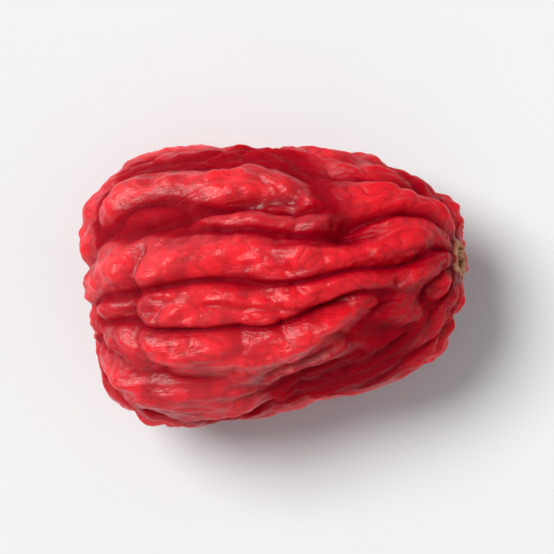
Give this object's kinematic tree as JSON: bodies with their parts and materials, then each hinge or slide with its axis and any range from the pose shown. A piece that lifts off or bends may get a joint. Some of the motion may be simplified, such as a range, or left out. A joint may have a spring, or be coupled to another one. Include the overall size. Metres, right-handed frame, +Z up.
{
  "type": "dried barberry",
  "caption": "Dried barberry with lengthwise wrinkled skin, a pale stem scar and a dark stigma button, lying on a small flat spot.",
  "frame": {"origin": "middle of the berry's box, on the surface that the berry lies on", "axes": "+X along the berry towards its stem end, +Y across it, +Z up from the surface that it lies on"},
  "size_m": [0.0082, 0.006, 0.0053],
  "materials": {
    "skin": "satin"
  },
  "bodies": {
    "root": {"barberry": "skin"}
  },
  "joints": []
}
